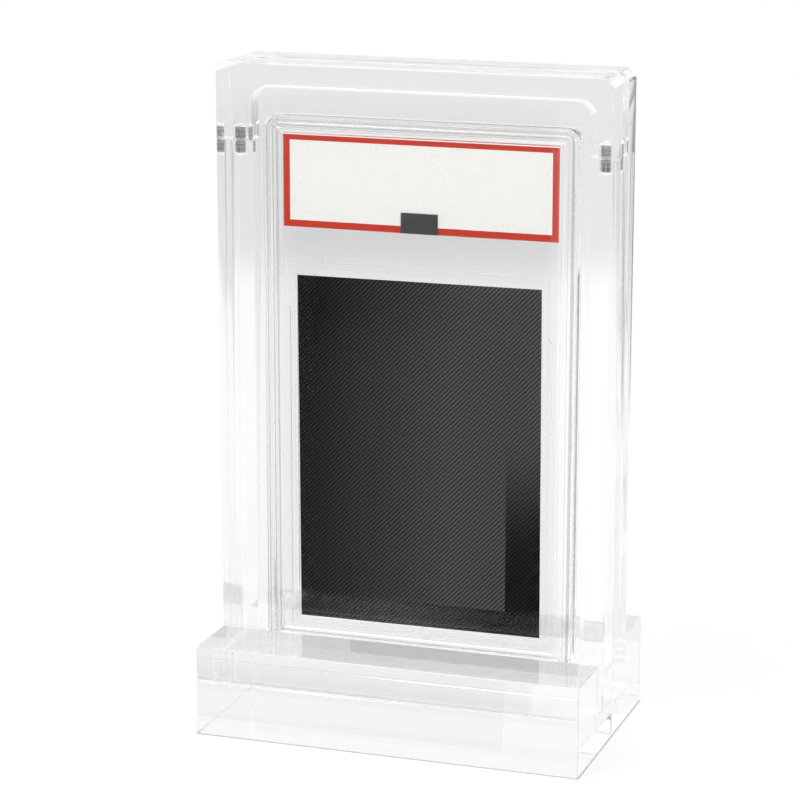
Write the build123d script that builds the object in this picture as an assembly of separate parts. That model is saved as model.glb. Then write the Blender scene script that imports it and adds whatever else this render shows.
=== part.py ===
from build123d import *
import os

# Clear acrylic display case for one graded trading card, standing in a slotted acrylic block.
# Millimetres. +Z is up, +X is to the right of somebody who looks at the card, +Y goes away from them.
# The origin is the centre of the stand's underside.

# stand: one solid block with a slot cut along X, open at both ends
STAND_WIDTH = 99.5
STAND_DEPTH = 60.4
STAND_HEIGHT = 23.0
FRONT_RIM = 18.3
SLOT_FLOOR = 10.3

# card holder: two clear shells welded round a card and a paper label
HOLDER_WIDTH = 81.0
HOLDER_HEIGHT = 136.7
HOLDER_THICKNESS = 6.0
HOLDER_CORNER = 3.2
FLANGE_WIDTH = 0.87
FLANGE_THICKNESS = 3.6
RAIL_WIDTH = 1.6
RAIL_BEVEL = 0.55
RAIL_STEP = 0.4
TERRACE_COUNT = 3
TERRACE_WIDTH = 0.72
TERRACE_STEP = 0.15
LEAST_CORNER = 0.4

# case: three layers, a front plate, a frame that stands round the holder, and a back plate; the frame is cut
# across near its top, and the part above the cut is a cap that lifts out from between the two plates
FRAME_WALL = 7.7
CAP_HEIGHT = 20.3
FRONT_PLATE = 8.4
BACK_PLATE = 6.9
CASE_CORNER = 3.0
POCKET_FLOOR = 6.8
CAP_ROOF = 6.8
POCKET_CORNER = 4.0
POCKET_SIDE_SPACE = 2.3
CAP_POCKET_RELIEF = 1.0
POCKET_TOP_SPACE = 6.75

# magnets: one pair at each side of the split between body and cap
MAGNET_DIAMETER = 4.0
MAGNET_LENGTH = 3.0
MAGNET_FROM_SIDE = 3.5
DRILL_TIP = 0.9
DRILL_POINT = 0.05

# card and label inside the holder
CARD_WIDTH = 63.5
CARD_HEIGHT = 88.9
CARD_THICKNESS = 0.35
CARD_CENTRE_UP = 52.2
CARD_ASIDE = 0.27
CARD_TILT = 0.28
WELL_MARGIN = 1.3
WELL_HEADROOM = 1.4
WELL_GROOVE_WIDTH = 1.15
WELL_GROOVE_DEPTH = 0.35
WELL_JOG = 1.0
WELL_JOG_RIGHT = 13.0
WELL_JOG_LEFT = 8.0
LABEL_WIDTH = 71.2
LABEL_HEIGHT = 23.55
LABEL_THICKNESS = 0.3
LABEL_FROM_TOP = 4.45
LABEL_ASIDE = 0.2
LABEL_BORDER = 1.75
LABEL_FACE_THICKNESS = 0.12
TAB_WIDTH = 9.6
TAB_HEIGHT = 5.1
TAB_THICKNESS = 0.12
BAR_LENGTH = 50.5
BAR_HEIGHT = 1.5
BAR_DEPTH = 0.3
BAR_ABOVE_CARD = 4.3

# clearances and broken edges
SLOT_BACK_CLEARANCE = 1.3
SLOT_FRONT_CLEARANCE = 1.65
SLOT_FLOOR_CLEARANCE = 0.05
CAP_CLEARANCE = 0.06
BOND_GAP = 0.04
HOLDER_CLEARANCE = 0.15
HOLDER_FACE_CLEARANCE = 0.3
MAGNET_CLEARANCE = 0.05
MAGNET_RECESS = 0.2
PAPER_CLEARANCE = 0.05
CARD_PLAY = 0.1
EDGE_BREAK = 0.3

# places that follow from the sizes above
slot_front = -STAND_DEPTH / 2 + FRONT_RIM
case_front = slot_front + SLOT_FRONT_CLEARANCE
pocket_depth = HOLDER_THICKNESS + 2 * HOLDER_FACE_CLEARANCE
case_depth = FRONT_PLATE + pocket_depth + BACK_PLATE
slot_width = SLOT_FRONT_CLEARANCE + case_depth + SLOT_BACK_CLEARANCE
pocket_front = case_front + FRONT_PLATE
pocket_back = pocket_front + pocket_depth
pocket_middle = (pocket_front + pocket_back) / 2
case_bottom = SLOT_FLOOR + SLOT_FLOOR_CLEARANCE
pocket_bottom = case_bottom + POCKET_FLOOR
holder_bottom = pocket_bottom + HOLDER_CLEARANCE
holder_top = holder_bottom + HOLDER_HEIGHT
pocket_top = holder_top + POCKET_TOP_SPACE
case_top = pocket_top + CAP_ROOF
split_height = case_top - CAP_HEIGHT
frame_window_width = HOLDER_WIDTH + 2 * POCKET_SIDE_SPACE
case_width = frame_window_width + 2 * FRAME_WALL
cap_window_width = frame_window_width + 2 * CAP_POCKET_RELIEF
holder_front = pocket_middle - HOLDER_THICKNESS / 2
holder_middle = pocket_middle
shell_thickness = HOLDER_THICKNESS / 2 - PAPER_CLEARANCE / 2
flange_thickness = FLANGE_THICKNESS / 2 - PAPER_CLEARANCE / 2
panel_inset = FLANGE_WIDTH + RAIL_WIDTH
panel_depth = RAIL_STEP + TERRACE_COUNT * TERRACE_STEP
card_centre = holder_bottom + CARD_CENTRE_UP
card_top = card_centre + CARD_HEIGHT / 2
bar_height = card_top + BAR_ABOVE_CARD
label_centre = holder_top - LABEL_FROM_TOP - LABEL_HEIGHT / 2
label_back_front = holder_middle - LABEL_THICKNESS / 2
label_face_front = label_back_front - LABEL_FACE_THICKNESS
label_front = label_face_front - TAB_THICKNESS


def plate(width, height, thickness, centre_height, front, corner=0.0):
    """An upright plate whose front face lies at Y = front, with rounded corners where they are wanted."""
    if corner > 0:
        outline = RectangleRounded(width, height, corner)
    else:
        outline = Rectangle(width, height)
    face = Plane.XZ.offset(-front) * Pos(0, centre_height) * outline
    return extrude(face, -thickness)


def arch(width, bottom, top, thickness, front, corner):
    """An upright plate that is square at its bottom and has two rounded top corners."""
    height = top - bottom
    whole = plate(width, height, thickness, (top + bottom) / 2, front)
    uprights = whole.edges().filter_by(Axis.Y).group_by(Axis.Z)[-1]
    return fillet(uprights, corner)


def make_stand():
    """The stand: a block with a slot through it from end to end, and broken edges."""
    block = Pos(0, 0, STAND_HEIGHT / 2) * Box(STAND_WIDTH, STAND_DEPTH, STAND_HEIGHT)
    slot_depth = STAND_HEIGHT - SLOT_FLOOR
    slot = Pos(0, slot_front + slot_width / 2, SLOT_FLOOR + slot_depth) * Box(
        2 * STAND_WIDTH, slot_width, 2 * slot_depth)
    block -= slot
    by_height = block.edges().group_by(Axis.Z)
    corners = block.edges().filter_by(Axis.Z).group_by(Axis.Y)
    return chamfer(by_height[0] + by_height[-1] + corners[0] + corners[-1], EDGE_BREAK)


def magnet_hole(side, up):
    """A blind drilled hole with a conical end, from the split face into the cap (up) or the frame (down)."""
    radius = MAGNET_DIAMETER / 2 + MAGNET_CLEARANCE
    depth = MAGNET_LENGTH + MAGNET_RECESS + MAGNET_CLEARANCE
    on_base = (Align.CENTER, Align.CENTER, Align.MIN)
    bore = Cylinder(radius, depth, align=on_base)
    tip = Pos(0, 0, depth) * Cone(radius, DRILL_POINT, DRILL_TIP, align=on_base)
    hole = bore + tip
    if not up:
        hole = hole.rotate(Axis.X, 180)
    return Pos(side * (case_width / 2 - MAGNET_FROM_SIDE), pocket_middle, split_height) * hole


def make_magnet(side, up):
    """A disc magnet in its hole, a little below the face that it looks out of."""
    x = side * (case_width / 2 - MAGNET_FROM_SIDE)
    away = MAGNET_RECESS + MAGNET_LENGTH / 2
    z = split_height + away if up else split_height - away
    return Pos(x, pocket_middle, z) * Cylinder(MAGNET_DIAMETER / 2, MAGNET_LENGTH)


def make_front_plate():
    """The front plate, over the full height of the case, with broken front edges."""
    front = arch(case_width, case_bottom, case_top, FRONT_PLATE, case_front, CASE_CORNER)
    return chamfer(front.edges().group_by(Axis.Y)[0], EDGE_BREAK)


def make_back_plate():
    """The back plate, the front plate's counterpart behind the frame and the cap."""
    back = arch(case_width, case_bottom, case_top, BACK_PLATE, pocket_back, CASE_CORNER)
    return chamfer(back.edges().group_by(Axis.Y)[-1], EDGE_BREAK)


def make_frame():
    """The frame between the plates: a pocket open at its top and right through, and two magnet holes."""
    height = split_height - case_bottom
    thickness = pocket_depth - 2 * BOND_GAP
    frame = plate(case_width, height, thickness, case_bottom + height / 2, pocket_front + BOND_GAP)
    cut_top = split_height + POCKET_CORNER
    frame -= plate(frame_window_width, cut_top - pocket_bottom, 2 * pocket_depth,
                   (cut_top + pocket_bottom) / 2, pocket_front - pocket_depth / 2, POCKET_CORNER / 2)
    for side in (-1, 1):
        frame -= magnet_hole(side, up=False)
    return frame


def make_cap():
    """The lift-off cap: rounded at its top corners, with the top of the pocket and two magnet holes."""
    bottom = split_height + CAP_CLEARANCE
    thickness = pocket_depth - 2 * CAP_CLEARANCE
    cap = arch(case_width, bottom, case_top, thickness, pocket_front + CAP_CLEARANCE, CASE_CORNER)
    cap -= arch(cap_window_width, bottom - pocket_depth, pocket_top, 2 * pocket_depth,
                pocket_front - pocket_depth / 2, POCKET_CORNER)
    for side in (-1, 1):
        cap -= Pos(0, 0, CAP_CLEARANCE) * magnet_hole(side, up=True)
    return cap


def holder_plate(inset, thickness, front):
    """A plate with the holder's outline, drawn in by inset all round."""
    corner = max(HOLDER_CORNER - inset, LEAST_CORNER)
    return plate(HOLDER_WIDTH - 2 * inset, HOLDER_HEIGHT - 2 * inset, thickness,
                 holder_bottom + HOLDER_HEIGHT / 2, front, corner)


def well_outline(grow, thickness, front):
    """A plate with the outline of the card's well, which jogs outwards low on the right, high on the left."""
    side = CARD_WIDTH / 2 + WELL_MARGIN + grow
    low = -CARD_HEIGHT / 2 - WELL_MARGIN - grow
    high = CARD_HEIGHT / 2 + WELL_MARGIN + WELL_HEADROOM + grow
    right_jog = CARD_HEIGHT / 2 - WELL_JOG_RIGHT
    left_jog = CARD_HEIGHT / 2 - WELL_JOG_LEFT
    points = [
        (-side, low),
        (side + WELL_JOG, low),
        (side + WELL_JOG, right_jog),
        (side, right_jog + WELL_JOG),
        (side, high),
        (-side - WELL_JOG, high),
        (-side - WELL_JOG, left_jog),
        (-side, left_jog - WELL_JOG),
    ]
    face = Plane.XZ.offset(-front) * Pos(0, card_centre) * make_face(Polyline(*points, close=True))
    return extrude(face, -thickness)


def bevelled_rail(front):
    """The raised middle of a shell, which stands inside the flange and has a bevelled outer edge."""
    rail = holder_plate(FLANGE_WIDTH, shell_thickness, front)
    outside = 0 if front < holder_middle else -1
    return chamfer(rail.edges().group_by(Axis.Y)[outside], RAIL_BEVEL)


def make_front_shell():
    """The holder's front shell: flange, rail, terraces down to the window, and the recesses on its inside."""
    shell = holder_plate(0, flange_thickness, holder_middle - PAPER_CLEARANCE / 2 - flange_thickness)
    shell += bevelled_rail(holder_front)
    for step in range(TERRACE_COUNT + 1):
        depth = RAIL_STEP + step * TERRACE_STEP
        shell -= holder_plate(panel_inset + step * TERRACE_WIDTH, depth, holder_front)
    shell -= plate(BAR_LENGTH, BAR_HEIGHT, panel_depth + BAR_DEPTH, bar_height, holder_front, BAR_HEIGHT / 4)
    shell -= card_recess(holder_middle - CARD_THICKNESS / 2 - PAPER_CLEARANCE)
    shell -= label_recess(label_front - PAPER_CLEARANCE)
    groove_front = holder_middle - PAPER_CLEARANCE / 2 - WELL_GROOVE_DEPTH
    groove = well_outline(WELL_GROOVE_WIDTH, WELL_GROOVE_DEPTH, groove_front)
    groove -= well_outline(0, WELL_GROOVE_DEPTH, groove_front)
    return shell - groove


def make_rear_shell():
    """The holder's rear shell: the same flange, rail and first step, and its half of the recesses."""
    start = holder_middle + PAPER_CLEARANCE / 2
    shell = holder_plate(0, flange_thickness, start)
    shell += bevelled_rail(start)
    shell -= holder_plate(panel_inset, RAIL_STEP, start + shell_thickness - RAIL_STEP)
    shell -= card_recess(start + CARD_THICKNESS / 2 + PAPER_CLEARANCE / 2 - HOLDER_THICKNESS)
    shell -= label_recess(start + LABEL_THICKNESS / 2 + PAPER_CLEARANCE / 2 - HOLDER_THICKNESS)
    return shell


def make_card():
    """The trading card, which lies a little aside and askew in its well."""
    card = plate(CARD_WIDTH, CARD_HEIGHT, CARD_THICKNESS, card_centre, holder_middle - CARD_THICKNESS / 2)
    through_centre = Axis((0, 0, card_centre), (0, 1, 0))
    return Pos(-CARD_ASIDE, 0, 0) * card.rotate(through_centre, -CARD_TILT)


def card_recess(front):
    """The room for the card in the shells, with play on every side of the card as it lies."""
    room = make_card().bounding_box().size
    return plate(room.X + 2 * (CARD_ASIDE + CARD_PLAY), room.Z + 2 * CARD_PLAY, HOLDER_THICKNESS,
                 card_centre, front)


def label_recess(front):
    """The room for the label in the shells."""
    room = plate(LABEL_WIDTH + 2 * PAPER_CLEARANCE, LABEL_HEIGHT + 2 * PAPER_CLEARANCE, HOLDER_THICKNESS,
                 label_centre, front)
    return Pos(-LABEL_ASIDE, 0, 0) * room


def make_label_backing():
    """The red backing of the label, which shows as a border round the white face."""
    backing = plate(LABEL_WIDTH, LABEL_HEIGHT, LABEL_THICKNESS, label_centre, label_back_front)
    return Pos(-LABEL_ASIDE, 0, 0) * backing


def make_label_face():
    """The white face of the label, stuck on the backing."""
    face = plate(LABEL_WIDTH - 2 * LABEL_BORDER, LABEL_HEIGHT - 2 * LABEL_BORDER, LABEL_FACE_THICKNESS,
                 label_centre, label_face_front)
    return Pos(-LABEL_ASIDE, 0, 0) * face


def make_label_tab():
    """The dark sticker at the middle of the label's lower edge, folded over the step of the white face."""
    height = label_centre - LABEL_HEIGHT / 2 + TAB_HEIGHT / 2
    tab = plate(TAB_WIDTH, TAB_HEIGHT, TAB_THICKNESS, height, label_front)
    step_height = label_centre - LABEL_HEIGHT / 2 + LABEL_BORDER / 2
    tab += plate(TAB_WIDTH, LABEL_BORDER, LABEL_FACE_THICKNESS, step_height, label_face_front)
    return Pos(-LABEL_ASIDE, 0, 0) * tab


parts = {
    "stand_base": make_stand(),
    "case_front_plate": make_front_plate(),
    "case_frame": make_frame(),
    "case_cap": make_cap(),
    "case_back_plate": make_back_plate(),
    "holder_front_shell": make_front_shell(),
    "holder_rear_shell": make_rear_shell(),
    "card": make_card(),
    "label_backing": make_label_backing(),
    "label_face": make_label_face(),
    "label_tab": make_label_tab(),
}
for side, side_name in ((-1, "left"), (1, "right")):
    parts[f"cap_magnet_{side_name}"] = Pos(0, 0, CAP_CLEARANCE) * make_magnet(side, up=True)
    parts[f"frame_magnet_{side_name}"] = make_magnet(side, up=False)

os.makedirs("parts", exist_ok=True)
for name, shape in parts.items():
    shape.label = name
    export_step(shape, f"parts/{name}.step")
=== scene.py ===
"""Looks of a clear acrylic display case for one graded trading card, on its slotted stand.

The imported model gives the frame. The classes below dress its solids, replace the ones that need
finer edges, and set up the camera, the floor and the light.
"""

import logging
import math
from collections.abc import Callable
from dataclasses import dataclass, field
from enum import Enum

import bmesh
import bpy
from bmesh.types import BMEdge, BMesh, BMFace, BMVert
from bpy.types import Material, Node, NodeSocket as Socket, NodeTree, Object, ShaderNodeTree
from mathutils import Matrix, Vector


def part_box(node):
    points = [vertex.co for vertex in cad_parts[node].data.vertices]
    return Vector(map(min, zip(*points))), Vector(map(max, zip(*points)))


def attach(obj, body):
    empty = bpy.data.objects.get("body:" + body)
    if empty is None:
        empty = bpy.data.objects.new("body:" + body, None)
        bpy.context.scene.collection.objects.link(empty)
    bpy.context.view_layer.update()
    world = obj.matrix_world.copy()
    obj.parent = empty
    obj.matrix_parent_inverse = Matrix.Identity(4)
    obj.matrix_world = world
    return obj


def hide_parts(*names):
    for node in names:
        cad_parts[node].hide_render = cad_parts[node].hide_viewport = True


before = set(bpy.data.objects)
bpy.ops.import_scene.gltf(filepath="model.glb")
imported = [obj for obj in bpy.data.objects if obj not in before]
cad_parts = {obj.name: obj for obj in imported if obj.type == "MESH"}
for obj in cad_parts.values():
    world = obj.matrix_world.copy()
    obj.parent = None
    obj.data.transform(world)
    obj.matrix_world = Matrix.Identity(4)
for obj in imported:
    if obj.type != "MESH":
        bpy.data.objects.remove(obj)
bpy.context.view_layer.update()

Colour = tuple[float, float, float]
Place = tuple[float, float, float]
Span = tuple[float, float]

MM = 0.001
# Face attribute for the clear plastic's haze and, where it is tinted, its painted shade.
HAZE_AND_SHADE = "sawn"
LOG = logging.getLogger("display_case")

BARE_PAPER: Colour = (0.78, 0.77, 0.74)
WHITE: Colour = (1.0, 1.0, 1.0)

# Two places nearer than this are one: places read from a solid, places made here, cutting planes.
NEAR = 0.01 * MM
SAME = 0.001 * MM
CUT = 0.0001 * MM
# A face is square to an axis when its normal's part along it is above SQUARE, and turned to it
# when that is above TURNED.
SQUARE = 0.9
TURNED = 0.3
# Triangles of a solid that turn by less than this are one face, in degrees.
FLAT_TURN = 2.0
# The noise that gives every finish its small unevenness.
NOISE_DETAIL = 3.0
NOISE_ROUGHNESS = 0.55
NOISE_SPREAD: Span = (0.3, 0.7)


# ---- node helpers


class Tree:
    """A node tree with short calls for adding nodes and wiring them."""

    def __init__(self, tree: NodeTree) -> None:
        """Keeps the node tree of a material, a world or a group."""
        self.tree = tree

    def add(self, kind: str, **settings: object) -> Node:
        """Adds a node and sets its properties.

        Args:
            kind: The node's type name.
            **settings: Properties of the node, by name.

        Returns:
            The new node.
        """
        node = self.tree.nodes.new(kind)
        for name, value in settings.items():
            setattr(node, name, value)
        return node

    def link(self, source: Socket, target: Socket) -> None:
        """Wires an output socket to an input socket."""
        self.tree.links.new(source, target)

    def feed(self, socket: Socket, value: object) -> None:
        """Wires a socket, or writes a plain value on it.

        Args:
            socket: The input socket.
            value: An output socket, a number or a tuple.
        """
        if isinstance(value, Socket):
            self.link(value, socket)
        else:
            socket.default_value = value

    def math(self, operation: str, first: object, second: object = 0.0) -> Socket:
        """Adds a Math node.

        Args:
            operation: The node's operation.
            first: A socket or a number.
            second: A socket or a number.

        Returns:
            The node's output.
        """
        node = self.add("ShaderNodeMath", operation=operation)
        self.feed(node.inputs[0], first)
        self.feed(node.inputs[1], second)
        return node.outputs[0]

    def split(self, point: Socket) -> Node:
        """Adds a node that splits a vector.

        Args:
            point: The vector.

        Returns:
            The node, with outputs X, Y and Z.
        """
        node = self.add("ShaderNodeSeparateXYZ")
        self.link(point, node.inputs[0])
        return node

    def ramp(self, value: object, low: float, high: float, to_low: float = 0.0,
             to_high: float = 1.0, smooth: bool = True) -> Socket:
        """Adds a Map Range node that is clamped at both ends.

        Args:
            value: A socket or a number.
            low: The value at which the result is to_low.
            high: The value at which the result is to_high.
            to_low: The result at low.
            to_high: The result at high.
            smooth: Whether the change eases in and out.

        Returns:
            The mapped value.
        """
        kind = "SMOOTHSTEP" if smooth else "LINEAR"
        node = self.add("ShaderNodeMapRange", interpolation_type=kind)
        self.feed(node.inputs["Value"], value)
        ends = {"From Min": low, "From Max": high, "To Min": to_low, "To Max": to_high}
        for name, number in ends.items():
            node.inputs[name].default_value = number
        return node.outputs["Result"]

    def mix(self, factor: object, first: object, second: object) -> Socket:
        """Adds a colour Mix node.

        Args:
            factor: How much of second there is.
            first: A colour or a socket.
            second: A colour or a socket.

        Returns:
            The mixed colour.
        """
        node = self.add("ShaderNodeMix", data_type="RGBA")
        self.feed(node.inputs[0], factor)
        for socket, part in ((node.inputs[6], first), (node.inputs[7], second)):
            self.feed(socket, part if isinstance(part, Socket) else (*part, 1.0))
        return node.outputs[2]

    def glow(self, kind: str, colour: Socket) -> Node:
        """Adds a shader that gives off light.

        Args:
            kind: The node's type name.
            colour: Its colour.

        Returns:
            The node.
        """
        node = self.add(kind)
        self.link(colour, node.inputs["Color"])
        node.inputs["Strength"].default_value = 1.0
        return node

    def end_in_mix(self, share: Socket, first: Node, second: Node) -> None:
        """Ends a material in a mix of two shaders.

        Args:
            share: How much of second there is.
            first: A shader.
            second: A shader.
        """
        node = self.add("ShaderNodeMixShader")
        for number, source in enumerate((share, first.outputs[0], second.outputs[0])):
            self.link(source, node.inputs[number])
        self.link(node.outputs[0], self.add("ShaderNodeOutputMaterial").inputs["Surface"])


def grey(level: float) -> Colour:
    """The grey of a level."""
    return (level, level, level)


def object_point(tree: Tree) -> Socket:
    """The point being shaded, in metres, in the piece's own coordinates."""
    return tree.add("ShaderNodeTexCoord").outputs["Object"]


def fine_variation() -> ShaderNodeTree:
    """Builds the group that gives a surface its small unevenness, once.

    Returns:
        A group with Vector, Scale, Low and High as inputs, and Amount and Height as outputs.
    """
    found = bpy.data.node_groups.get("fine_variation")
    if found:
        return found
    group = bpy.data.node_groups.new("fine_variation", "ShaderNodeTree")
    group.interface.new_socket("Vector", in_out="INPUT", socket_type="NodeSocketVector")
    for way, names in (("INPUT", ("Scale", "Low", "High")), ("OUTPUT", ("Amount", "Height"))):
        for name in names:
            group.interface.new_socket(name, in_out=way, socket_type="NodeSocketFloat")
    tree = Tree(group)
    start = tree.add("NodeGroupInput").outputs
    end = tree.add("NodeGroupOutput").inputs
    noise = tree.add("ShaderNodeTexNoise")
    noise.inputs["Detail"].default_value = NOISE_DETAIL
    noise.inputs["Roughness"].default_value = NOISE_ROUGHNESS
    spread = tree.add("ShaderNodeMapRange", interpolation_type="SMOOTHSTEP")
    for name, value in zip(("From Min", "From Max"), NOISE_SPREAD):
        spread.inputs[name].default_value = value
    tree.link(start["Vector"], noise.inputs["Vector"])
    tree.link(start["Scale"], noise.inputs["Scale"])
    tree.link(noise.outputs[0], spread.inputs["Value"])
    tree.link(start["Low"], spread.inputs["To Min"])
    tree.link(start["High"], spread.inputs["To Max"])
    tree.link(spread.outputs["Result"], end["Amount"])
    tree.link(noise.outputs[0], end["Height"])
    return group


def place_variation(tree: Tree, scale: float, low: float, high: float) -> Node:
    """Places the group fine_variation in a material.

    Args:
        tree: The material's tree.
        scale: Cells per metre.
        low: The least Amount.
        high: The largest Amount.

    Returns:
        The group node.
    """
    node = tree.add("ShaderNodeGroup")
    node.node_tree = fine_variation()
    tree.link(object_point(tree), node.inputs["Vector"])
    node.inputs["Scale"].default_value = scale
    node.inputs["Low"].default_value = low
    node.inputs["High"].default_value = high
    return node


def behind(tree: Tree, depth: float) -> Socket:
    """Adds a mask that is 1 behind a depth and 0 before it, along the case's depth in metres."""
    return tree.math("GREATER_THAN", tree.split(object_point(tree)).outputs["Y"], depth)


def new_material(name: str) -> tuple[Tree, Node, Node]:
    """Starts a material.

    Args:
        name: The material's name.

    Returns:
        Its tree, its Principled BSDF and its output node.
    """
    tree = empty_material(name)
    shader = tree.add("ShaderNodeBsdfPrincipled")
    output = tree.add("ShaderNodeOutputMaterial")
    tree.link(shader.outputs["BSDF"], output.inputs["Surface"])
    return tree, shader, output


def empty_material(name: str) -> Tree:
    """Starts a material with no nodes.

    Args:
        name: The material's name.

    Returns:
        Its tree.
    """
    material = bpy.data.materials.new(name)
    material.use_nodes = True
    material.node_tree.nodes.clear()
    return Tree(material.node_tree)


def add_bump(tree: Tree, shader: Node, height: Socket, depth: float) -> None:
    """Gives a shader a bump from a height.

    Args:
        tree: The material's tree.
        shader: The Principled BSDF.
        height: The height, from 0 to 1.
        depth: How deep a height of 1 is, in metres.
    """
    bump = tree.add("ShaderNodeBump")
    bump.inputs["Strength"].default_value = 1.0
    bump.inputs["Distance"].default_value = depth
    tree.link(height, bump.inputs["Height"])
    tree.link(bump.outputs["Normal"], shader.inputs["Normal"])


# ---- finishes


@dataclass(frozen=True)
class ClearPlastic:
    """A clear plastic: its glass, its polish and how much light it takes up along the way."""

    name: str
    tint: Colour = WHITE
    index: float = 1.49
    haze_low: float = 0.0
    haze_high: float = 0.0
    haze_scale: float = 60.0
    sawn_haze: float = 0.0
    sawn_haze_change: float = 0.15
    sawn_scale: float = 90.0
    # Below 1, darkens the colour of the marked faces: painted shade.
    painted_shade_tint: float = 1.0
    absorbed: Colour = (0.95, 0.955, 0.96)
    density: float = 1.2

    def material(self) -> Material:
        """Builds the material, which is hazier on faces whose marking attribute isn't 0.

        Where its tint for those faces is below 1, it also darkens them: painted shade.

        Returns:
            The material.
        """
        tree, shader, output = new_material(self.name)
        shader.inputs["Base Color"].default_value = (*self.tint, 1.0)
        shader.inputs["IOR"].default_value = self.index
        shader.inputs["Transmission Weight"].default_value = 1.0
        shader.inputs["Metallic"].default_value = 0.0
        polish = place_variation(tree, self.haze_scale, self.haze_low, self.haze_high)
        roughness = polish.outputs["Amount"]
        sawn = tree.add("ShaderNodeAttribute", attribute_name=HAZE_AND_SHADE)
        # Painted shade: a darker colour on the marked faces.
        if self.painted_shade_tint < 1.0:
            painted_shade_colour = tuple(part * self.painted_shade_tint for part in self.tint)
            colour = tree.mix(sawn.outputs["Fac"], self.tint, painted_shade_colour)
            tree.link(colour, shader.inputs["Base Color"])
        if self.sawn_haze:
            change = self.sawn_haze * self.sawn_haze_change
            marks = place_variation(tree, self.sawn_scale, self.sawn_haze - change,
                                    self.sawn_haze + change)
            haze = tree.math("MULTIPLY", sawn.outputs["Fac"], marks.outputs["Amount"])
            roughness = tree.math("ADD", roughness, haze)
        tree.link(roughness, shader.inputs["Roughness"])
        inside = tree.add("ShaderNodeVolumeAbsorption")
        inside.inputs["Color"].default_value = (*self.absorbed, 1.0)
        inside.inputs["Density"].default_value = self.density
        tree.link(inside.outputs[0], output.inputs["Volume"])
        return bpy.data.materials[self.name]


@dataclass(frozen=True)
class Paper:
    """Printed paper: one colour, faintly uneven, with a paper's grain, and bare behind its print.

    With a printed_depth of 0 it has the colour all through.
    """

    name: str
    colour: Colour
    printed_depth: float = 0.0
    roughness: float = 0.55
    variation: float = 0.05
    grain_scale: float = 1800.0
    grain_depth: float = 0.004 * MM

    def material(self, front: float = 0.0) -> Material:
        """Builds the material.

        Args:
            front: Where the printed face lies, along the case's depth.

        Returns:
            The material.
        """
        tree, shader, _ = new_material(self.name)
        grain = place_variation(tree, self.grain_scale, 0.0, 1.0)
        darker = tuple(c * (1 - self.variation) for c in self.colour)
        lighter = tuple(min(1.0, c * (1 + self.variation)) for c in self.colour)
        colour = tree.mix(grain.outputs["Amount"], darker, lighter)
        if self.printed_depth:
            colour = tree.mix(behind(tree, front + self.printed_depth), colour, BARE_PAPER)
        tree.link(colour, shader.inputs["Base Color"])
        shader.inputs["Roughness"].default_value = self.roughness
        add_bump(tree, shader, grain.outputs["Height"], self.grain_depth)
        return bpy.data.materials[self.name]


@dataclass(frozen=True)
class Nickel:
    """Nickel plate on a magnet, with faint bands and fine marks."""

    name: str
    bright: Colour = (0.44, 0.432, 0.415)
    dull: Colour = (0.28, 0.28, 0.272)
    band_pitch: float = 1.1 * MM
    band_edge: float = 0.6
    marks_scale: float = 2200.0
    marks_depth: float = 0.01 * MM
    roughness_low: float = 0.25
    roughness_high: float = 0.42

    def material(self) -> Material:
        """Builds the material.

        Returns:
            The material.
        """
        tree, shader, _ = new_material(self.name)
        up = tree.split(object_point(tree)).outputs["Z"]
        turns = tree.math("MULTIPLY", up, math.tau / self.band_pitch)
        band = tree.ramp(tree.math("SINE", turns), -self.band_edge, self.band_edge)
        tree.link(tree.mix(band, self.dull, self.bright), shader.inputs["Base Color"])
        shader.inputs["Metallic"].default_value = 1.0
        marks = place_variation(tree, self.marks_scale, self.roughness_low, self.roughness_high)
        tree.link(marks.outputs["Amount"], shader.inputs["Roughness"])
        add_bump(tree, shader, marks.outputs["Height"], self.marks_depth)
        return bpy.data.materials[self.name]


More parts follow.
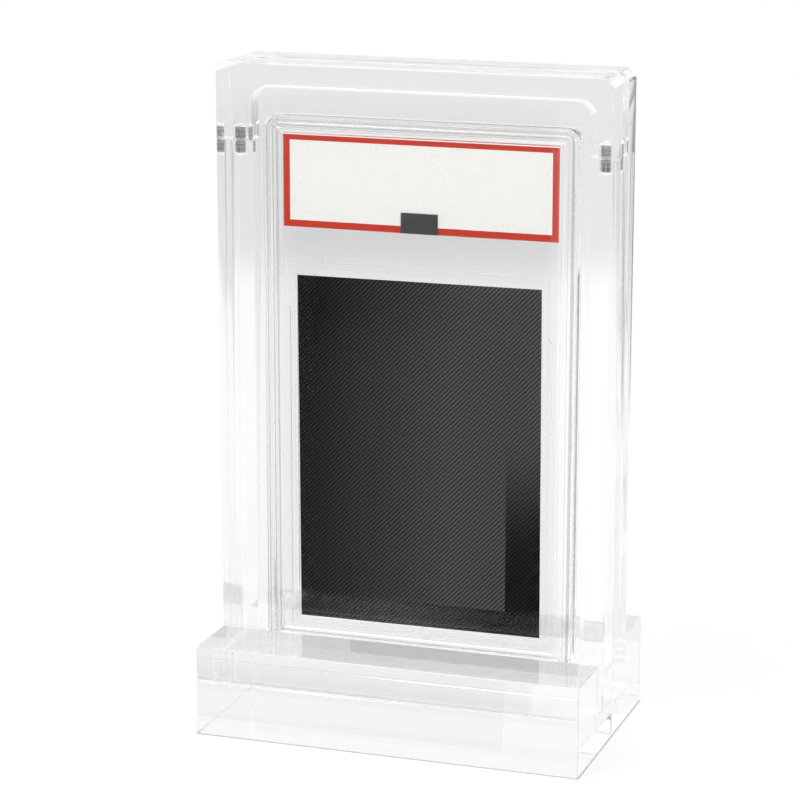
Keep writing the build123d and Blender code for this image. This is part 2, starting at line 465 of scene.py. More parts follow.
@dataclass(frozen=True)
class CardPrintAndReflection:
    """The card's face: a near-black print with a fine slanting hatch, and a painted reflection.

    The painted reflection is a lighter field over the hatch, with dark margins. Its sizes are
    shares of the card's width or height, from its lower left corner.
    """

    name: str
    dark: Colour = (0.002, 0.002, 0.0023)
    light: Colour = (0.12, 0.122, 0.126)
    hatch_pitch: float = 0.84 * MM
    hatch_low: float = 0.22
    left_tone: float = 0.2
    fade_width: float = 0.62
    top_from: float = 0.7
    top_shift: float = 0.12
    panel_right: float = 0.856
    panel_bottom: float = 0.07
    right_edge: float = 0.004
    bottom_edge: float = 0.003
    right_fade: Span = (0.22, 0.62)
    bottom_fade: Span = (0.25, 0.9)
    margin_tone: float = 0.2
    printed_depth: float = 0.01 * MM
    roughness: float = 0.4

    def material(self) -> Material:
        """Builds the material.

        Returns:
            The material.
        """
        tree, shader, _ = new_material(self.name)
        low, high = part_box("card")
        size = high - low
        place = tree.add("ShaderNodeMapping")
        place.inputs["Location"].default_value = (-low.x / size.x, 0.0, -low.z / size.z)
        place.inputs["Scale"].default_value = (1 / size.x, 1.0, 1 / size.z)
        tree.link(object_point(tree), place.inputs["Vector"])
        share = tree.split(place.outputs[0])
        # Painted reflection: a lighter field in which the printed hatch shows.
        painted_reflection = self.painted_reflection(tree, share.outputs["X"], share.outputs["Z"])
        tone = tree.math("MULTIPLY", painted_reflection, self.hatch(tree))
        print_and_reflection_colour = tree.mix(tone, self.dark, self.light)
        stock = behind(tree, low.y + self.printed_depth)
        tree.link(tree.mix(stock, print_and_reflection_colour, BARE_PAPER), shader.inputs["Base Color"])
        shader.inputs["Roughness"].default_value = self.roughness
        shader.inputs["Specular IOR Level"].default_value = 0.0
        return bpy.data.materials[self.name]

    def hatch(self, tree: Tree) -> Socket:
        """Adds the fine lines, which rise to the right.

        Args:
            tree: The material's tree.

        Returns:
            A value from hatch_low between the lines to 1 on them.
        """
        axes = tree.split(object_point(tree))
        aslant = tree.math("SUBTRACT", axes.outputs["X"], axes.outputs["Z"])
        turns = tree.math("MULTIPLY", aslant, math.tau * math.sqrt(0.5) / self.hatch_pitch)
        return tree.ramp(tree.math("SINE", turns), -1.0, 1.0, self.hatch_low, 1.0, smooth=False)

    def painted_reflection(self, tree: Tree, across: Socket, up: Socket) -> Socket:
        """Adds the painted reflection: dark at the left, in the upper left corner and the margins.

        Args:
            tree: The material's tree.
            across: The share of the width.
            up: The share of the height.

        Returns:
            A value from 0 to 1.
        """
        shift = tree.ramp(up, self.top_from, 1.0, 0.0, self.top_shift)
        from_left = tree.math("SUBTRACT", across, shift)
        fade = tree.ramp(from_left, 0.0, self.fade_width, self.left_tone, 1.0, smooth=False)
        right = tree.ramp(across, self.panel_right, self.panel_right + self.right_edge,
                          smooth=False)
        right_tone = tree.ramp(up, *self.right_fade, self.margin_tone, 1.0)
        bottom = tree.ramp(up, self.panel_bottom, self.panel_bottom + self.bottom_edge, 1.0, 0.0,
                           smooth=False)
        bottom_tone = tree.ramp(across, *self.bottom_fade, 1.0, self.margin_tone)
        margins = tree.math("MULTIPLY", self.blend(tree, right, right_tone),
                            self.blend(tree, bottom, bottom_tone))
        return tree.math("MULTIPLY", fade, tree.math("MAXIMUM", margins, self.margin_tone))

    def blend(self, tree: Tree, share: Socket, tone: Socket) -> Socket:
        """Adds a value that is 1 where share is 0, and tone where it is 1."""
        missing = tree.math("MULTIPLY", share, tree.math("SUBTRACT", 1.0, tone))
        return tree.math("SUBTRACT", 1.0, missing)


# ---- mesh helpers


def dress(node: str, material: Material) -> None:
    """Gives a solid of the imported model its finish.

    Args:
        node: The solid's name.
        material: The finish.
    """
    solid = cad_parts[node]
    solid.data.materials.clear()
    solid.data.materials.append(material)
    LOG.info("%s: dressed in %s", node, material.name)


def new_piece(name: str, mesh: BMesh, material: Material, body: str) -> Object:
    """Makes an object of a finished bmesh, at the origin, and sets it on a body.

    Args:
        name: The piece's name.
        mesh: The shape, in metres in the object's frame.
        material: Its finish.
        body: The body that it rides on.

    Returns:
        The new object.
    """
    data = bpy.data.meshes.new(name)
    mesh.to_mesh(data)
    mesh.free()
    data.materials.append(material)
    piece = bpy.data.objects.new(name, data)
    bpy.context.scene.collection.objects.link(piece)
    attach(piece, body)
    LOG.info("%s: built, rides on %s", name, body)
    return piece


def cad_copy(node: str) -> BMesh:
    """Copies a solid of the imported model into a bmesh, with its triangles merged into whole faces.

    Args:
        node: The solid's name.

    Returns:
        The bmesh.
    """
    mesh = bmesh.new()
    mesh.from_mesh(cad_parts[node].data)
    bmesh.ops.remove_doubles(mesh, verts=mesh.verts, dist=SAME)
    bmesh.ops.dissolve_limit(mesh, angle_limit=math.radians(FLAT_TURN), verts=mesh.verts,
                             edges=mesh.edges)
    return mesh


def add_box(mesh: BMesh, low: Place, high: Place) -> list[BMVert]:
    """Adds a box.

    Args:
        mesh: The shape to add to.
        low: The box's lowest corner.
        high: Its highest corner.

    Returns:
        Its vertices.
    """
    size = Vector([b - a for a, b in zip(low, high)])
    middle = Vector([(a + b) / 2 for a, b in zip(low, high)])
    matrix = Matrix.Translation(middle) @ Matrix.Diagonal(size).to_4x4()
    return bmesh.ops.create_cube(mesh, size=1.0, matrix=matrix)["verts"]


def bevel(mesh: BMesh, edges: list[BMEdge], width: float, steps: int = 1) -> None:
    """Breaks edges with a flat, or rounds them.

    Args:
        mesh: The shape to change.
        edges: The edges.
        width: How far the new faces reach from an edge.
        steps: How many faces take its place.
    """
    bmesh.ops.bevel(mesh, geom=edges, offset=width, affect="EDGES", segments=steps, profile=0.5,
                    material=-1)


def cut(mesh: BMesh, faces: list[BMFace], place: Place, normal: Place) -> None:
    """Cuts faces along a plane and keeps both sides.

    Args:
        mesh: The shape to change.
        faces: The faces.
        place: A point of the plane.
        normal: The plane's normal.
    """
    edges = dict.fromkeys(edge for face in faces for edge in face.edges)
    verts = dict.fromkeys(vert for face in faces for vert in face.verts)
    bmesh.ops.bisect_plane(mesh, geom=[*verts, *edges, *faces], plane_co=place, plane_no=normal,
                           dist=CUT)


def level(edge: BMEdge, axis: str, slack: float = SAME) -> bool:
    """Says whether both ends of an edge are at one place along an axis."""
    first, second = edge.verts
    return abs(getattr(first.co, axis) - getattr(second.co, axis)) < slack


def shade(mesh: BMesh, haze: Callable[[BMFace], float], sharp: float = 25.0) -> None:
    """Smooths the shading, except across sharp edges, and marks faces for haze and painted shade.

    Args:
        mesh: The shape.
        haze: Gives a face's mark, from 0 to 1, which the clear plastic reads for its haze and,
        where it is tinted, its painted shade.
        sharp: The least turn of a sharp edge, in degrees.
    """
    layer = mesh.faces.layers.float.new(HAZE_AND_SHADE)
    for face in mesh.faces:
        face.smooth = True
        face[layer] = haze(face)
    for edge in mesh.edges:
        edge.smooth = edge.calc_face_angle(math.pi) < math.radians(sharp)


def broken_edge(face: BMFace) -> float:
    """Gives 1 for a narrow face that slants between two walls, and 0 for a wall."""
    return 0.0 if max(abs(part) for part in face.normal) > SQUARE else 1.0


# ---- sub-assemblies


@dataclass
class Stand:
    """The slotted block."""

    finish: ClearPlastic = ClearPlastic("stand_acrylic_clear", sawn_haze=0.7)

    def build(self) -> None:
        """Builds the block from its solid, with its broken edges left satin."""
        mesh = cad_copy("stand_base")
        shade(mesh, broken_edge)
        piece = new_piece("stand_block_polished", mesh, self.finish.material(), "stand")
        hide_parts("stand_base")


class Side(Enum):
    """The two sides of the case, as somebody who looks at the card sees them."""

    LEFT = -1
    RIGHT = 1


@dataclass(frozen=True)
class Layers:
    """Where the case's three layers and the split lie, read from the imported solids, in metres."""

    half_width: float
    front: float
    frame_front: float
    frame_back: float
    back: float
    bottom: float
    split: float
    top: float
    half_window: float
    window_bottom: float

    @staticmethod
    def read() -> "Layers":
        """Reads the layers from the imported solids.

        Returns:
            The layers.
        """
        front_low, front_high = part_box("case_front_plate")
        back_low, back_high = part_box("case_back_plate")
        frame_low, frame_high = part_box("case_frame")
        points = [v.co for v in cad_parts["case_frame"].data.vertices]
        half_window = min(abs(p.x) for p in points if p.z > frame_high.z - NEAR)
        inside = [p.z for p in points if abs(p.x) < half_window - MM and p.z > frame_low.z + MM]
        return Layers(
            half_width=front_high.x, front=front_low.y, frame_front=front_high.y,
            frame_back=back_low.y, back=back_high.y, bottom=frame_low.z, split=frame_high.z,
            top=front_high.z, half_window=half_window, window_bottom=min(inside),
        )


@dataclass
class Case:
    """The cemented block of plates and frame, the cap between the plates and the magnets."""

    finish: ClearPlastic = ClearPlastic("case_acrylic_clear", sawn_haze=0.22)
    magnet_finish: Nickel = Nickel("magnet_nickel_plate")
    layers: Layers = field(default_factory=Layers.read)
    corner: float = 3.0 * MM
    window_corner: float = 2.0 * MM
    corner_steps: int = 12
    edge_break: float = 0.3 * MM
    cap_break: float = 0.2 * MM
    seam_width: float = 0.16 * MM
    seam_depth: float = 0.12 * MM
    seam_end: float = 0.3 * MM
    outside_haze: float = 0.4
    outside_reach: float = 4.0 * MM
    window_haze: float = 1.0
    wall_slack: float = 0.1 * MM
    recess_from_hole: float = 2.5 * MM
    recess_from_top: float = 2.0 * MM
    hole_radius: float = 2.05 * MM
    hole_reach: float = 2.2 * MM
    hole_depth: float = 3.25 * MM
    hole_tip: float = 0.9 * MM
    hole_point: float = 0.05 * MM
    hole_from_side: float = 3.5 * MM
    hole_sides: int = 48
    magnet_bevel: float = 0.25 * MM
    magnet_bevel_steps: int = 3
    magnet_sides: int = 48

    def build(self) -> None:
        """Builds the cemented block, the cap and the magnets."""
        acrylic = self.finish.material()
        self.block(acrylic)
        self.cap(acrylic)
        nickel = self.magnet_finish.material()
        for side in Side:
            self.magnet(f"frame_magnet_{side.name.lower()}", nickel, "case")
            self.magnet(f"cap_magnet_{side.name.lower()}", nickel, "cap")

    def block(self, acrylic: Material) -> None:
        """Builds the plates and the frame as the one clear block that their cement makes.

        Args:
            acrylic: Its finish.
        """
        mesh = bmesh.new()
        self.slab(mesh)
        self.seams(mesh)
        self.open_middle(mesh)
        for side in Side:
            self.frame_end(mesh, side)
        bmesh.ops.remove_doubles(mesh, verts=mesh.verts, dist=SAME)
        bmesh.ops.recalc_face_normals(mesh, faces=mesh.faces)
        shade(mesh, self.block_haze)
        piece = new_piece("case_block", mesh, acrylic, "case")
        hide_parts("case_front_plate", "case_frame", "case_back_plate")

    def block_haze(self, face: BMFace) -> float:
        """Says how hazy a face of the block is: its milled walls most, its outer edges a little.

        Args:
            face: The face.

        Returns:
            From 0 to 1.
        """
        layers, at = self.layers, face.calc_center_median()
        if abs(face.normal.y) > TURNED:
            return broken_edge(face)
        if abs(at.z - layers.split) < NEAR:
            return self.window_haze
        within = abs(at.x) < layers.half_window + self.wall_slack
        if within and layers.bottom + MM < at.z < layers.split:
            return self.window_haze
        from_hole = abs(abs(at.x) - self.hole_centre)
        aside = abs(at.x) > layers.half_width - self.outside_reach and from_hole > self.hole_reach
        return self.outside_haze if aside or at.z > layers.top - self.outside_reach else 0.0

    @property
    def hole_centre(self) -> float:
        """How far the magnets' holes are from the middle."""
        return self.layers.half_width - self.hole_from_side

    def slab(self, mesh: BMesh) -> None:
        """Makes the block's outside: rounded upper corners, broken edges, cuts between the layers.

        Args:
            mesh: The shape to add to.
        """
        layers = self.layers
        add_box(mesh, (-layers.half_width, layers.front, layers.bottom),
                (layers.half_width, layers.back, layers.top))
        corners = [e for e in mesh.edges
                   if level(e, "x", MM) and all(v.co.z > layers.split for v in e.verts)]
        bevel(mesh, corners, self.corner, self.corner_steps)
        bevel(mesh, [e for e in mesh.edges if level(e, "y")], self.edge_break)
        for depth in (layers.frame_front, layers.frame_back):
            cut(mesh, mesh.faces[:], (0, depth, 0), (0, 1, 0))
        cut(mesh, mesh.faces[:], (0, 0, layers.split), (0, 0, 1))

    def seams(self, mesh: BMesh) -> None:
        """Cuts the shallow grooves where the layers are cemented, up both sides to the split.

        Args:
            mesh: The shape to change.
        """
        layers = self.layers
        end = layers.split - self.seam_end
        planes = [((0, 0, end), (0, 0, 1))]
        for seam in (layers.frame_front, layers.frame_back):
            for step in (-self.seam_width, self.seam_width):
                planes.append(((0, seam + step, 0), (0, 1, 0)))
        for place, normal in planes:
            walls = [f for f in mesh.faces
                     if abs(f.normal.x) > SQUARE and f.calc_center_median().z < layers.split]
            cut(mesh, walls, place, normal)
        for vert in mesh.verts:
            from_seam = min(abs(vert.co.y - layers.frame_front), abs(vert.co.y - layers.frame_back))
            outside = abs(vert.co.x) > layers.half_width - SAME
            if from_seam < SAME and outside and vert.co.z < end + SAME:
                vert.co.x -= math.copysign(self.seam_depth, vert.co.x)

    def open_middle(self, mesh: BMesh) -> None:
        """Takes the cap's room and the window out of the middle layer.

        Args:
            mesh: The shape to change.
        """
        layers = self.layers
        middles = [(f, f.calc_center_median()) for f in mesh.faces]
        gone = [f for f, at in middles
                if layers.frame_front < at.y < layers.frame_back and at.z > layers.split]
        bmesh.ops.delete(mesh, geom=gone, context="FACES")
        window = add_box(mesh, (-layers.half_window, layers.frame_front, layers.window_bottom),
                         (layers.half_window, layers.frame_back, layers.split))
        corners = dict.fromkeys(
            e for v in window for e in v.link_edges
            if level(e, "x", MM) and all(w.co.z < layers.split - MM for w in e.verts))
        bevel(mesh, list(corners), self.window_corner, self.corner_steps)
        inside = [f for f in mesh.faces
                  if all(abs(v.co.x) < layers.half_window + SAME
                         and layers.window_bottom - SAME < v.co.z < layers.split + SAME
                         for v in f.verts)]
        ends = [f for f in inside if abs(f.normal.y) > SQUARE or f.normal.z > SQUARE]
        bmesh.ops.delete(mesh, geom=ends, context="FACES")
        for plane in (layers.frame_front, layers.frame_back):
            self.plate_inside(mesh, plane)

    def plate_inside(self, mesh: BMesh, plane: float) -> None:
        """Closes the inner face of a plate, over the window and the cap's room.

        Args:
            mesh: The shape to change.
            plane: Where the face lies, along the case's depth.
        """
        for side in Side:
            spots = [Vector((side.value * across, plane, self.layers.split))
                     for across in (self.layers.half_width, self.layers.half_window)]
            mesh.edges.new([min(mesh.verts, key=lambda v: (v.co - spot).length) for spot in spots])
        rim = [e for e in mesh.edges
               if len(e.link_faces) < 2 and all(abs(v.co.y - plane) < SAME for v in e.verts)]
        bmesh.ops.contextual_create(mesh, geom=rim)

    def frame_end(self, mesh: BMesh, side: Side) -> None:
        """Closes the frame's upper end on one side, round the drilled hole for its magnet.

        Args:
            mesh: The shape to change.
            side: Which side.
        """
        layers = self.layers
        centre = Vector((side.value * self.hole_centre,
                         (layers.frame_front + layers.frame_back) / 2, layers.split))
        ring = bmesh.ops.create_circle(mesh, segments=self.hole_sides, radius=self.hole_radius,
                                       matrix=Matrix.Translation(centre))["verts"]
        circle = list(dict.fromkeys(e for v in ring for e in v.link_edges))
        inner, outer = layers.half_window - SAME, layers.half_width + SAME
        border = [e for e in mesh.edges if len(e.link_faces) == 1
                  and all(abs(v.co.z - layers.split) < SAME and inner < side.value * v.co.x < outer
                          for v in e.verts)]
        bmesh.ops.triangle_fill(mesh, use_beauty=True, edges=circle + border, normal=(0, 0, 1))
        tip = self.hole_point / self.hole_radius
        for depth, shrink in ((self.hole_depth, 1.0), (self.hole_tip, tip)):
            made = bmesh.ops.extrude_edge_only(mesh, edges=circle)["geom"]
            ring = [v for v in made if isinstance(v, BMVert)]
            circle = [e for e in made if isinstance(e, BMEdge)]
            bmesh.ops.translate(mesh, verts=ring, vec=(0, 0, -depth))
            bmesh.ops.scale(mesh, verts=ring, vec=(shrink, shrink, 1.0),
                            space=Matrix.Translation(-centre))
        bmesh.ops.contextual_create(mesh, geom=circle)

    def cap(self, acrylic: Material) -> None:
        """Builds the cap from its solid, with broken edges and the milled walls of its recess.

        Args:
            acrylic: Its finish.
        """
        mesh = cad_copy("case_cap")
        low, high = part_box("case_cap")
        rims = [e for e in mesh.edges if level(e, "y")
                and all(min(v.co.y - low.y, high.y - v.co.y) < SAME for v in e.verts)]
        bevel(mesh, rims, self.cap_break)
        shade(mesh, self.cap_haze)
        piece = new_piece("cap_with_milled_recess", mesh, acrylic, "cap")
        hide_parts("case_cap")

    def cap_haze(self, face: BMFace) -> float:
        """Says how hazy a face of the cap is: its milled walls most, its outer edges a little.

        Args:
            face: The face.

        Returns:
            From 0 to 1.
        """
        low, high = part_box("case_cap")
        at = face.calc_center_median()
        if abs(face.normal.y) > TURNED:
            return broken_edge(face)
        from_hole = abs(at.x) - self.hole_centre
        if abs(from_hole) < self.hole_reach:
            return 0.0
        if from_hole < -self.recess_from_hole and at.z < high.z - self.recess_from_top:
            return self.window_haze
        return self.outside_haze if at.z > low.z + self.wall_slack else self.window_haze

    def magnet(self, node: str, nickel: Material, body: str) -> None:
        """Builds a magnet with rounded edges in place of its plain disc.

        Args:
            node: The disc's name.
            nickel: Its finish.
            body: The body that it rides on.
        """
        low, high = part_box(node)
        radius, height = (high.x - low.x) / 2, high.z - low.z
        mesh = bmesh.new()
        bmesh.ops.create_cone(mesh, cap_ends=True, segments=self.magnet_sides, radius1=radius,
                              radius2=radius, depth=height,
                              matrix=Matrix.Translation((low + high) / 2))
        rims = [e for e in mesh.edges if level(e, "z", CUT)]
        bevel(mesh, rims, self.magnet_bevel, self.magnet_bevel_steps)
        for face in mesh.faces:
            face.smooth = True
        piece = new_piece(f"{node}_plated", mesh, nickel, body)
        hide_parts(node)


@dataclass
class CardHolder:
    """The two clear shells, the card and its label."""

    # Both shells darken their slanted faces by half: painted shade along the steps and edges.
    front_finish: ClearPlastic = ClearPlastic("holder_front_clear", index=1.4, painted_shade_tint=0.5)
    rear_finish: ClearPlastic = ClearPlastic("holder_rear_clear", index=1.4, haze_low=0.1,
                                             haze_high=0.13, painted_shade_tint=0.5)
    card_finish: CardPrintAndReflection = CardPrintAndReflection("card_face_print")
    red: Paper = Paper("label_red_paper", (0.58, 0.022, 0.002), printed_depth=0.01 * MM)
    white: Paper = Paper("label_white_paper", (0.9, 0.9, 0.87))
    dark: Paper = Paper("label_dark_film", (0.05, 0.055, 0.055), roughness=0.4)
    rim_width: float = 2.47 * MM
    terrace_width: float = 0.72 * MM
    terrace_count: int = 3
    first_step: float = 0.4 * MM
    terrace_step: float = 0.15 * MM
    corner_reach: float = 0.3 * MM
    slope: float = 0.34 * MM
    ridge: float = 0.12 * MM

    def build(self) -> None:
        """Builds the shells and dresses the card and the label."""
        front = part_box("holder_front_shell")[0].y
        risers = [(front, self.rim_width, 0.0)]
        for step in range(self.terrace_count):
            head = front + self.first_step + step * self.terrace_step
            risers.append((head, self.rim_width + (step + 1) * self.terrace_width, self.ridge))
        clear = self.front_finish.material()
        self.shell("holder_front_shell", "holder_front_moulded", clear, risers)
        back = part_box("holder_rear_shell")[1].y
        clear = self.rear_finish.material()
        self.shell("holder_rear_shell", "holder_rear_moulded", clear, [(back, self.rim_width, 0.0)])
        dress("card", self.card_finish.material())
        dress("label_backing", self.red.material(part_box("label_backing")[0].y))
        dress("label_face", self.white.material())
        dress("label_tab", self.dark.material())

    def shell(self, node: str, name: str, clear: Material,
              risers: list[tuple[float, float, float]]) -> None:
        """Builds a shell from its solid, with its risers sloped as a mould leaves them.

        Args:
            node: The solid's name.
            name: The piece's name.
            clear: Its finish.
            risers: Each riser's head, inset and ridge, as slope_riser takes them.
        """
        mesh = cad_copy(node)
        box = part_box(node)
        for head, inset, ridge in risers:
            self.slope_riser(mesh, box, head, inset, ridge)
        # The slanted faces are marked for the shells' painted shade.
        shade(mesh, broken_edge)
        piece = new_piece(name, mesh, clear, "holder")
        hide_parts(node)

    def slope_riser(self, mesh: BMesh, box: tuple[Vector, Vector], head: float,
                    inset: float, ridge: float) -> None:
        """Draws the head of a riser outwards, so that it slopes, and raises it into a low ridge.

        Args:
            mesh: The shell.
            box: The shell's lowest and highest corners.
            head: Where the head lies, along the case's depth.
            inset: How far in from the shell's edge the riser stands.
            ridge: How far the head comes forward.
        """
        low, high = box
        middle = (low + high) / 2
        for vert in mesh.verts:
            at = vert.co
            inwards = min(at.x - low.x, high.x - at.x, at.z - low.z, high.z - at.z)
            if abs(at.y - head) < NEAR and -NEAR <= inwards - inset <= self.corner_reach:
                at.x += math.copysign(self.slope, at.x - middle.x)
                at.y -= ridge
                at.z += math.copysign(self.slope, at.z - middle.z)


# ---- studio


@dataclass
class PhotoCamera:
    """The camera at the photograph's angle, distance and framing.

    The angles are in degrees, and the focal length is in pixels of a picture of picture_width.
    """

    azimuth: float = 18.812
    elevation: float = 13.658
    roll: float = 0.026
    distance: float = 746.676 * MM
    target: Place = (-5.969 * MM, 0.0, 83.073 * MM)
    focal_length: float = 2981.161
    picture_width: float = 800.0
    sensor: float = 36.0
    clip: Span = (0.01, 50.0)

    def build(self) -> None:
        """Makes the camera and gives it to the scene."""
        a, e, r = (math.radians(x) for x in (self.azimuth, self.elevation, self.roll))
        back = Vector((math.sin(a) * math.cos(e), -math.cos(a) * math.cos(e), math.sin(e)))
        aside = (-back).cross(Vector((0, 0, 1))).normalized()
        upward = aside.cross(-back)
        right = math.cos(r) * aside + math.sin(r) * upward
        up = math.cos(r) * upward - math.sin(r) * aside
        turn = Matrix((right, up, back)).transposed().to_4x4()
        data = bpy.data.cameras.new("photo_camera")
        data.lens = self.focal_length * self.sensor / self.picture_width
        data.sensor_width = self.sensor
        data.clip_start, data.clip_end = self.clip
        camera = bpy.data.objects.new("photo_camera", data)
        camera.matrix_world = Matrix.Translation(Vector(self.target) + back * self.distance) @ turn
        bpy.context.scene.collection.objects.link(camera)
        bpy.context.scene.camera = camera


@dataclass
class Studio:
    """The pale floor, the soft light and the surroundings that show in the clear pieces.

    A pair is half a size across and along where its name ends in half. Elsewhere it is where a
    change starts and ends: in metres on the floor and the flags, and in parts of a direction for
    the backdrop, the front and the overhead light. flag_once and flag_often count reflections.
    """

    floor_half: float = 6.0
    floor_place: Place = (0.0, 0.0, -0.02 * MM)
    floor_colour: Colour = grey(0.9)
    floor_own_light: float = 0.8
    # Painted shade: to all but the camera, the floor turns greyer far from the object.
    floor_fade: Span = (0.54, 0.68)
    far_floor_shade: float = 0.75
    stand_half: Span = (49.75 * MM, 30.2 * MM)
    # A painted shadow under the stand, for all but the camera.
    shadow_under_stand: float = 0.72
    shadow_under_edge: Span = (-2.0 * MM, 1.0 * MM)
    # A painted contact shadow: a grey line round the stand, which only the camera sees.
    contact_shadow_grey: float = 0.4
    contact_shadow_edge: Span = (0.0, 0.35 * MM)
    backdrop: float = 0.95
    backdrop_side: float = 0.62
    backdrop_fade: Span = (0.42, 0.8)
    front_low: float = 0.8
    front_high: float = 1.7
    front_rise: Span = (0.3, 0.5)
    front_to_back: Span = (-0.2, 0.2)
    overhead: float = 1.0
    overhead_rise: Span = (0.6, 0.85)
    # The flags are dark sheets of painted shade that only reflections see.
    flag_near: float = 0.0
    flag_far: float = 0.1
    flag_fade: Span = (-0.55, -0.9)
    flag_once: float = 0.5
    flag_often: float = 5.5
    flag_once_from: Span = (-1.15, -0.9)
    flag_often_to: Span = (-0.2, -0.32)
    flag_half: Span = (0.17, 0.68)
    flag_place: Place = (-0.131, -0.72, 1.0 * MM)
    flag_slant: float = 0.285
    rim_half: Span = (37.0 * MM, 7.0 * MM)
    rim_place: Place = (-3.0 * MM, -23.0 * MM, 18.33 * MM)
    lamp_place: Place = (-0.7, -0.9, 1.3)
    lamp_aim: Place = (0.0, 0.0, 0.08)
    lamp_size: float = 1.1
    lamp_power: float = 9.0

    def build(self) -> None:
        """Makes the floor, the world, the flags and the lamp."""
        self.floor()
        self.world()
        self.flags()
        self.lamp()
        self.bounces()

    def bounces(self) -> None:
        """Lets light pass through many clear faces before it is dropped."""
        cycles = bpy.context.scene.cycles
        cycles.max_bounces = 128
        cycles.transmission_bounces = 64
        cycles.glossy_bounces = 96
        cycles.diffuse_bounces = 4
        cycles.transparent_max_bounces = 16
        cycles.blur_glossy = 0.0

    def sheet(self, name: str, half: Span, place: Place, material: str) -> Object:
        """Makes a level sheet of the studio's own.

        Args:
            name: Its name.
            half: Half its size across and along, in metres.
            place: Its centre, in metres.
            material: Its material's name.

        Returns:
            The sheet.
        """
        mesh = bmesh.new()
        bmesh.ops.create_grid(mesh, x_segments=1, y_segments=1, size=1.0)
        bmesh.ops.scale(mesh, verts=mesh.verts, vec=(*half, 1.0))
        bmesh.ops.translate(mesh, verts=mesh.verts, vec=place)
        data = bpy.data.meshes.new(name)
        mesh.to_mesh(data)
        mesh.free()
        data.materials.append(bpy.data.materials[material])
        sheet = bpy.data.objects.new(name, data)
        bpy.context.scene.collection.objects.link(sheet)
        return sheet

    def floor(self) -> None:
        """Makes the floor, which keeps the object's shadow.

        To all but the camera it turns greyer far from the object, a painted shade, and under the
        stand, a painted shadow. The camera sees a grey line where the stand meets it, a painted
        contact shadow.
        """
        tree = empty_material("floor_pale")
        diffuse = tree.add("ShaderNodeBsdfDiffuse")
        diffuse.inputs["Color"].default_value = (*self.floor_colour, 1.0)
        reach = tree.add("ShaderNodeVectorMath", operation="LENGTH")
        tree.link(object_point(tree), reach.inputs[0])
        path = tree.add("ShaderNodeLightPath").outputs
        unseen = tree.math("SUBTRACT", 1.0, path["Is Camera Ray"])
        # Painted shade far off and a painted shadow under the stand, which the camera doesn't see.
        away = tree.math("MULTIPLY", tree.ramp(reach.outputs["Value"], *self.floor_fade), unseen)
        under = tree.math("MULTIPLY", self.beneath(tree, self.shadow_under_edge), unseen)
        # A painted contact shadow round the stand, for the camera only.
        contact_shadow = tree.math("MULTIPLY", self.beneath(tree, self.contact_shadow_edge), path["Is Camera Ray"])
        colour = tree.mix(away, WHITE, grey(self.far_floor_shade))
        colour = tree.mix(under, colour, grey(self.shadow_under_stand))
        colour = tree.mix(contact_shadow, colour, grey(self.contact_shadow_grey))
        rays = tree.math("MAXIMUM", path["Is Camera Ray"], path["Is Glossy Ray"])
        seen = tree.math("MAXIMUM", rays, path["Is Transmission Ray"])
        share = tree.math("MULTIPLY", seen, self.floor_own_light)
        tree.end_in_mix(share, diffuse, tree.glow("ShaderNodeEmission", colour))
        self.sheet("floor", (self.floor_half, self.floor_half), self.floor_place, "floor_pale")

    def beneath(self, tree: Tree, edge: Span) -> Socket:
        """Adds a mask of the floor that the stand covers, for the painted shadows round it.

        Args:
            tree: The floor's tree.
            edge: How far outside the stand's edges the mask starts to fall, and reaches 0.

        Returns:
            1 under the stand and 0 elsewhere.
        """
        axes = tree.split(object_point(tree)).outputs
        full, gone = edge
        parts = [tree.ramp(tree.math("ABSOLUTE", axes[axis]), half + full, half + gone, 1.0, 0.0)
                 for axis, half in zip("XY", self.stand_half)]
        return tree.math("MULTIPLY", *parts)

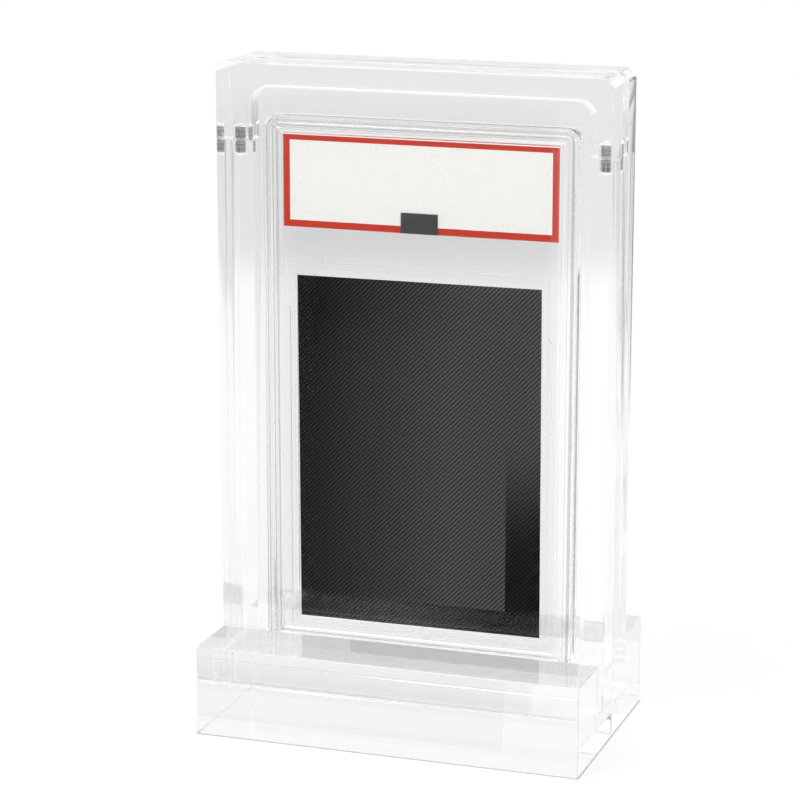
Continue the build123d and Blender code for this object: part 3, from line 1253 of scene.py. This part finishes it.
    def flags(self) -> None:
        """Lays two dark sheets, seen only in reflections, before the object and on the stand's rim.

        They are painted shade in the reflections of the clear pieces. Rays that were reflected a few
        times see all of them but the far end, and rays that were reflected often see all but the
        near end. None sees them from below.
        """
        tree = empty_material("flag_dark")
        along = tree.split(object_point(tree)).outputs["Y"]
        away = tree.ramp(along, *self.flag_fade)
        colour = tree.mix(away, grey(self.flag_near), grey(self.flag_far))
        depth = tree.add("ShaderNodeLightPath").outputs["Glossy Depth"]
        often = tree.math("GREATER_THAN", depth, self.flag_often)
        once = tree.math("SUBTRACT", tree.math("GREATER_THAN", depth, self.flag_once), often)
        near = tree.math("MULTIPLY", once, tree.ramp(along, *self.flag_once_from))
        far = tree.math("MULTIPLY", often, tree.ramp(along, *self.flag_often_to))
        below = tree.add("ShaderNodeNewGeometry").outputs["Backfacing"]
        above = tree.math("SUBTRACT", 1.0, below)
        shown = tree.math("MULTIPLY", tree.math("ADD", near, far), above)
        clear = tree.add("ShaderNodeBsdfTransparent")
        tree.end_in_mix(shown, clear, tree.glow("ShaderNodeEmission", colour))
        on_floor = self.sheet("floor_painted_shade_flag", self.flag_half, self.flag_place, "flag_dark")
        shear = Matrix.Identity(4)
        shear[0][1] = self.flag_slant
        on_floor.data.transform(shear)
        # The sheet on the stand's rim darkens the reflections low on the case: painted shade.
        on_rim = self.sheet("rim_painted_shade_sheet", self.rim_half, self.rim_place, "flag_dark")
        for flag in (on_floor, on_rim):
            flag.visible_camera = flag.visible_diffuse = flag.visible_shadow = False

    def world(self) -> None:
        """Makes the surroundings: a pale backdrop, darker to both sides, and a brighter front."""
        world = bpy.data.worlds.new("studio")
        bpy.context.scene.world = world
        world.use_nodes = True
        world.node_tree.nodes.clear()
        tree = Tree(world.node_tree)
        axes = tree.split(tree.add("ShaderNodeTexCoord").outputs["Generated"]).outputs
        aside = tree.ramp(tree.math("ABSOLUTE", axes["X"]), *self.backdrop_fade)
        back = tree.mix(aside, grey(self.backdrop), grey(self.backdrop_side))
        raised = tree.ramp(axes["Z"], *self.front_rise)
        front = tree.mix(raised, grey(self.front_low), grey(self.front_high))
        around = tree.mix(tree.ramp(axes["Y"], *self.front_to_back), front, back)
        above = tree.ramp(axes["Z"], *self.overhead_rise)
        studio = tree.mix(above, around, grey(self.overhead))
        camera = tree.add("ShaderNodeLightPath").outputs["Is Camera Ray"]
        background = tree.glow("ShaderNodeBackground", tree.mix(camera, studio, WHITE))
        output = tree.add("ShaderNodeOutputWorld")
        tree.link(background.outputs[0], output.inputs["Surface"])

    def lamp(self) -> None:
        """Adds the large soft lamp, which looks at the object."""
        data = bpy.data.lights.new("key_light", "AREA")
        data.size = self.lamp_size
        data.energy = self.lamp_power
        lamp = bpy.data.objects.new("key_light", data)
        towards = Vector(self.lamp_aim) - Vector(self.lamp_place)
        turn = towards.to_track_quat("-Z", "Y").to_matrix().to_4x4()
        lamp.matrix_world = Matrix.Translation(self.lamp_place) @ turn
        bpy.context.scene.collection.objects.link(lamp)


def main() -> None:
    """Builds the scene."""
    logging.basicConfig(level=logging.INFO, format="%(name)s: %(message)s")
    bpy.context.scene.view_settings.view_transform = "Standard"
    PhotoCamera().build()
    Studio().build()
    Stand().build()
    Case().build()
    CardHolder().build()


if __name__ == "__main__":
    main()
